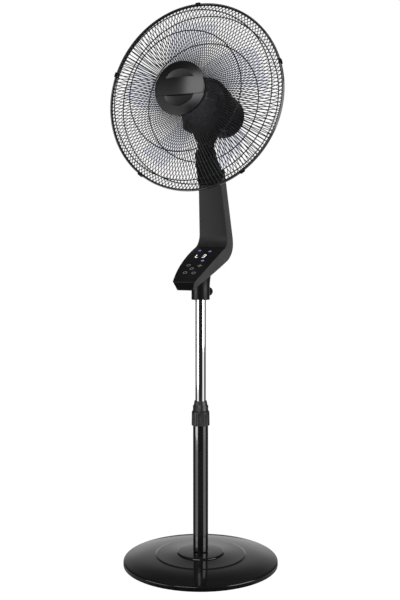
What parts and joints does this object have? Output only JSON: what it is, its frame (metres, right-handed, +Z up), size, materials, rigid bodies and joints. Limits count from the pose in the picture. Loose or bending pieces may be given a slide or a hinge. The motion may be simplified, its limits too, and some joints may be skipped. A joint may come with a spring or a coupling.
{
  "type": "pedestal fan",
  "caption": "Pedestal fan with a round weighted base, telescopic pole, bent neck with touch panel, tilting and swinging caged head, and translucent swept blades.",
  "frame": {"origin": "on the floor under the pole's axis, at the bottom centre of the bounding box", "axes": "+Z up along the pole; the fan blows towards -Y; +X is the fan's left as it blows"},
  "size_m": [0.444, 0.375, 1.3407],
  "materials": {
    "rubber": "matt moulded rubber",
    "base_iron": "painted black casting",
    "base_gloss": "high-gloss moulded",
    "hub_metal": "die cast, unpainted",
    "steel": "bright zinc-plated",
    "tube_black": "satin black powder coat",
    "chrome": "bright plated",
    "nylon": "natural moulded",
    "collar_black": "fine-grain moulded",
    "neck_grey": "fine-grain moulded dark grey",
    "panel_gloss": "gloss touch panel",
    "board": "coated circuit board",
    "motor_black": "fine-grain moulded",
    "core_steel": "stacked laminations",
    "copper": "enamelled windings",
    "blade_smoke": "clear smoke-grey moulded",
    "nut_black": "satin moulded",
    "wire_black": "gloss black coated wire",
    "rim_gloss": "gloss moulded band",
    "cap_grey": "satin dark grey"
  },
  "bodies": {
    "base": {"rubber_feet": "rubber", "base_weight": "base_iron", "base_cover": "base_gloss", "base_hub": "hub_metal", "base_bolt": "steel", "outer_tube": "tube_black", "collet": "nylon"},
    "collar": {"lock_collar": "collar_black"},
    "pole": {"inner_tube": "chrome", "guide_bush": "nylon", "neck_shell": "neck_grey", "neck_cover": "neck_grey", "control_panel": "panel_gloss", "display_board": "board", "power_board": "board", "socket_sleeve": "nylon", "tilt_bracket": "motor_black", "tilt_pin": "steel", "tilt_nut": "steel"},
    "thumb_screw": {"thumb_screw": "collar_black"},
    "tilt": {"tilt_knuckle": "motor_black"},
    "head": {"gear_case": "motor_black", "swing_motor": "steel", "motor_shield": "motor_black", "motor_cover": "motor_black", "stator": "core_steel", "stator_coils": "copper", "shaft_bearings": "steel", "rear_guard_plate": "wire_black", "ring_nut": "motor_black", "rear_guard": "wire_black", "rear_guard_rings": "wire_black", "front_guard": "wire_black", "front_guard_rings": "wire_black", "guard_rim": "rim_gloss", "guard_clips": "rim_gloss", "front_cap": "cap_grey", "cap_plate": "motor_black"},
    "spin": {"motor_shaft": "steel", "drive_pin": "steel", "rotor": "core_steel", "fan_blade": "blade_smoke", "blade_nut": "nut_black"}
  },
  "joints": [
    {"name": "collar_turn", "type": "hinge", "parent": "base", "child": "collar", "pos_m": [0, 0, 0.369], "axis": [0, 0, 1], "range_deg": [0, 90]},
    {"name": "height_slide", "type": "slide", "parent": "base", "child": "pole", "axis": [0, 0, 1], "range_m": [-0.23, 0]},
    {"name": "thumb_turn", "type": "hinge", "parent": "pole", "child": "thumb_screw", "pos_m": [0, 0.0253, 0.66], "axis": [0, 1, 0], "range_deg": [0, 360]},
    {"name": "head_tilt", "type": "hinge", "parent": "pole", "child": "tilt", "pos_m": [0, 0.02897, 0.9858], "axis": [-1, 0, 0], "range_deg": [-17, 13]},
    {"name": "head_swing", "type": "hinge", "parent": "tilt", "child": "head", "pos_m": [0, 0.03156, 1.0151], "axis": [0, 0.1219, 0.9925], "range_deg": [-40, 40]},
    {"name": "blade_spin", "type": "hinge", "parent": "head", "child": "spin", "pos_m": [0, -0.03989, 1.11586], "axis": [0, -0.9925, 0.1219], "continuous": true}
  ]
}
